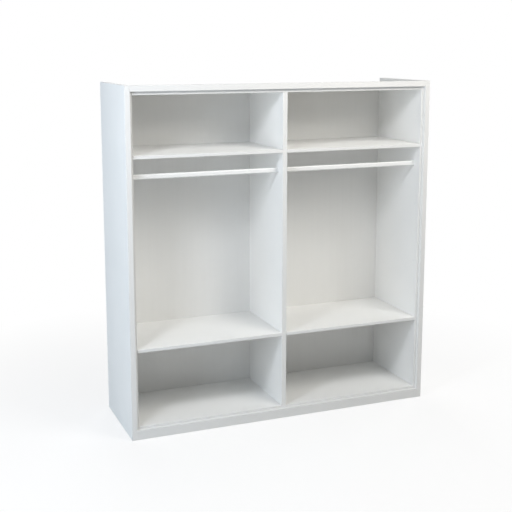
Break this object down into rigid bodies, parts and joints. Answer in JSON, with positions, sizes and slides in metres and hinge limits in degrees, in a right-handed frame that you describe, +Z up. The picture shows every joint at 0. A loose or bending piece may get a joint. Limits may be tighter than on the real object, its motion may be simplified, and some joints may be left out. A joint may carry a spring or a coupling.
{
  "type": "wardrobe",
  "caption": "Open white wardrobe carcass with bays on both sides of a partition, each with a top shelf, an oval hanging rod and a loose lower shelf.",
  "frame": {"origin": "on the floor, under the middle of the wardrobe's box", "axes": "+X towards the wardrobe's right end as seen from the front, +Y from the open front to the back, +Z up"},
  "size_m": [2, 0.6, 2.12],
  "materials": {
    "white_board": "white melamine foil on particle board, satin",
    "back_board": "white lacquered fibreboard, matt",
    "white_tube": "white powder coat, semi-gloss",
    "socket_plastic": "white moulded plastic, semi-gloss",
    "white_plastic": "white moulded plastic, fine matt",
    "zinc_steel": "bright zinc plate",
    "cast_zinc": "die-cast zinc, dull",
    "beech": "plain beech",
    "glide_plastic": "dark grey moulded plastic"
  },
  "bodies": {
    "carcass": {"left_cheek": "white_board", "right_cheek": "white_board", "left_side_panel": "white_board", "right_side_panel": "white_board", "centre_partition": "white_board", "top_panel": "white_board", "bottom_panel": "white_board", "fascia": "white_board", "front_plinth": "white_board", "rear_plinth": "white_board", "base_rail": "white_board", "left_upper_shelf": "white_board", "right_upper_shelf": "white_board", "left_back_panel": "back_board", "right_back_panel": "back_board", "left_rod_sockets": "socket_plastic", "right_rod_sockets": "socket_plastic", "cam_covers": "white_plastic", "cheek_screw_caps": "white_plastic", "wall_sleeves": "white_plastic", "back_panel_wedges": "white_plastic", "rod_socket_screws": "zinc_steel", "shelf_pins": "zinc_steel", "cam_bolts": "zinc_steel", "partition_screws": "zinc_steel", "cheek_screws": "zinc_steel", "rear_plinth_screws": "zinc_steel", "corner_brackets": "zinc_steel", "bracket_screws": "zinc_steel", "wall_brackets": "zinc_steel", "wall_bracket_screws": "zinc_steel", "cam_locks": "cast_zinc", "wooden_dowels": "beech", "floor_glides": "glide_plastic"},
    "left_rod": {"left_hanging_rod": "white_tube"},
    "right_rod": {"right_hanging_rod": "white_tube"},
    "left_shelf": {"left_lower_shelf": "white_board"},
    "right_shelf": {"right_lower_shelf": "white_board"}
  },
  "joints": [
    {"name": "left_rod_lift", "type": "slide", "parent": "carcass", "child": "left_rod", "axis": [0, 0, 1], "range_m": [0, 0.06]},
    {"name": "right_rod_lift", "type": "slide", "parent": "carcass", "child": "right_rod", "axis": [0, 0, 1], "range_m": [0, 0.06]},
    {"name": "left_shelf_pull", "type": "slide", "parent": "carcass", "child": "left_shelf", "axis": [0, -1, 0], "range_m": [0, 0.58]},
    {"name": "right_shelf_pull", "type": "slide", "parent": "carcass", "child": "right_shelf", "axis": [0, -1, 0], "range_m": [0, 0.58]}
  ]
}
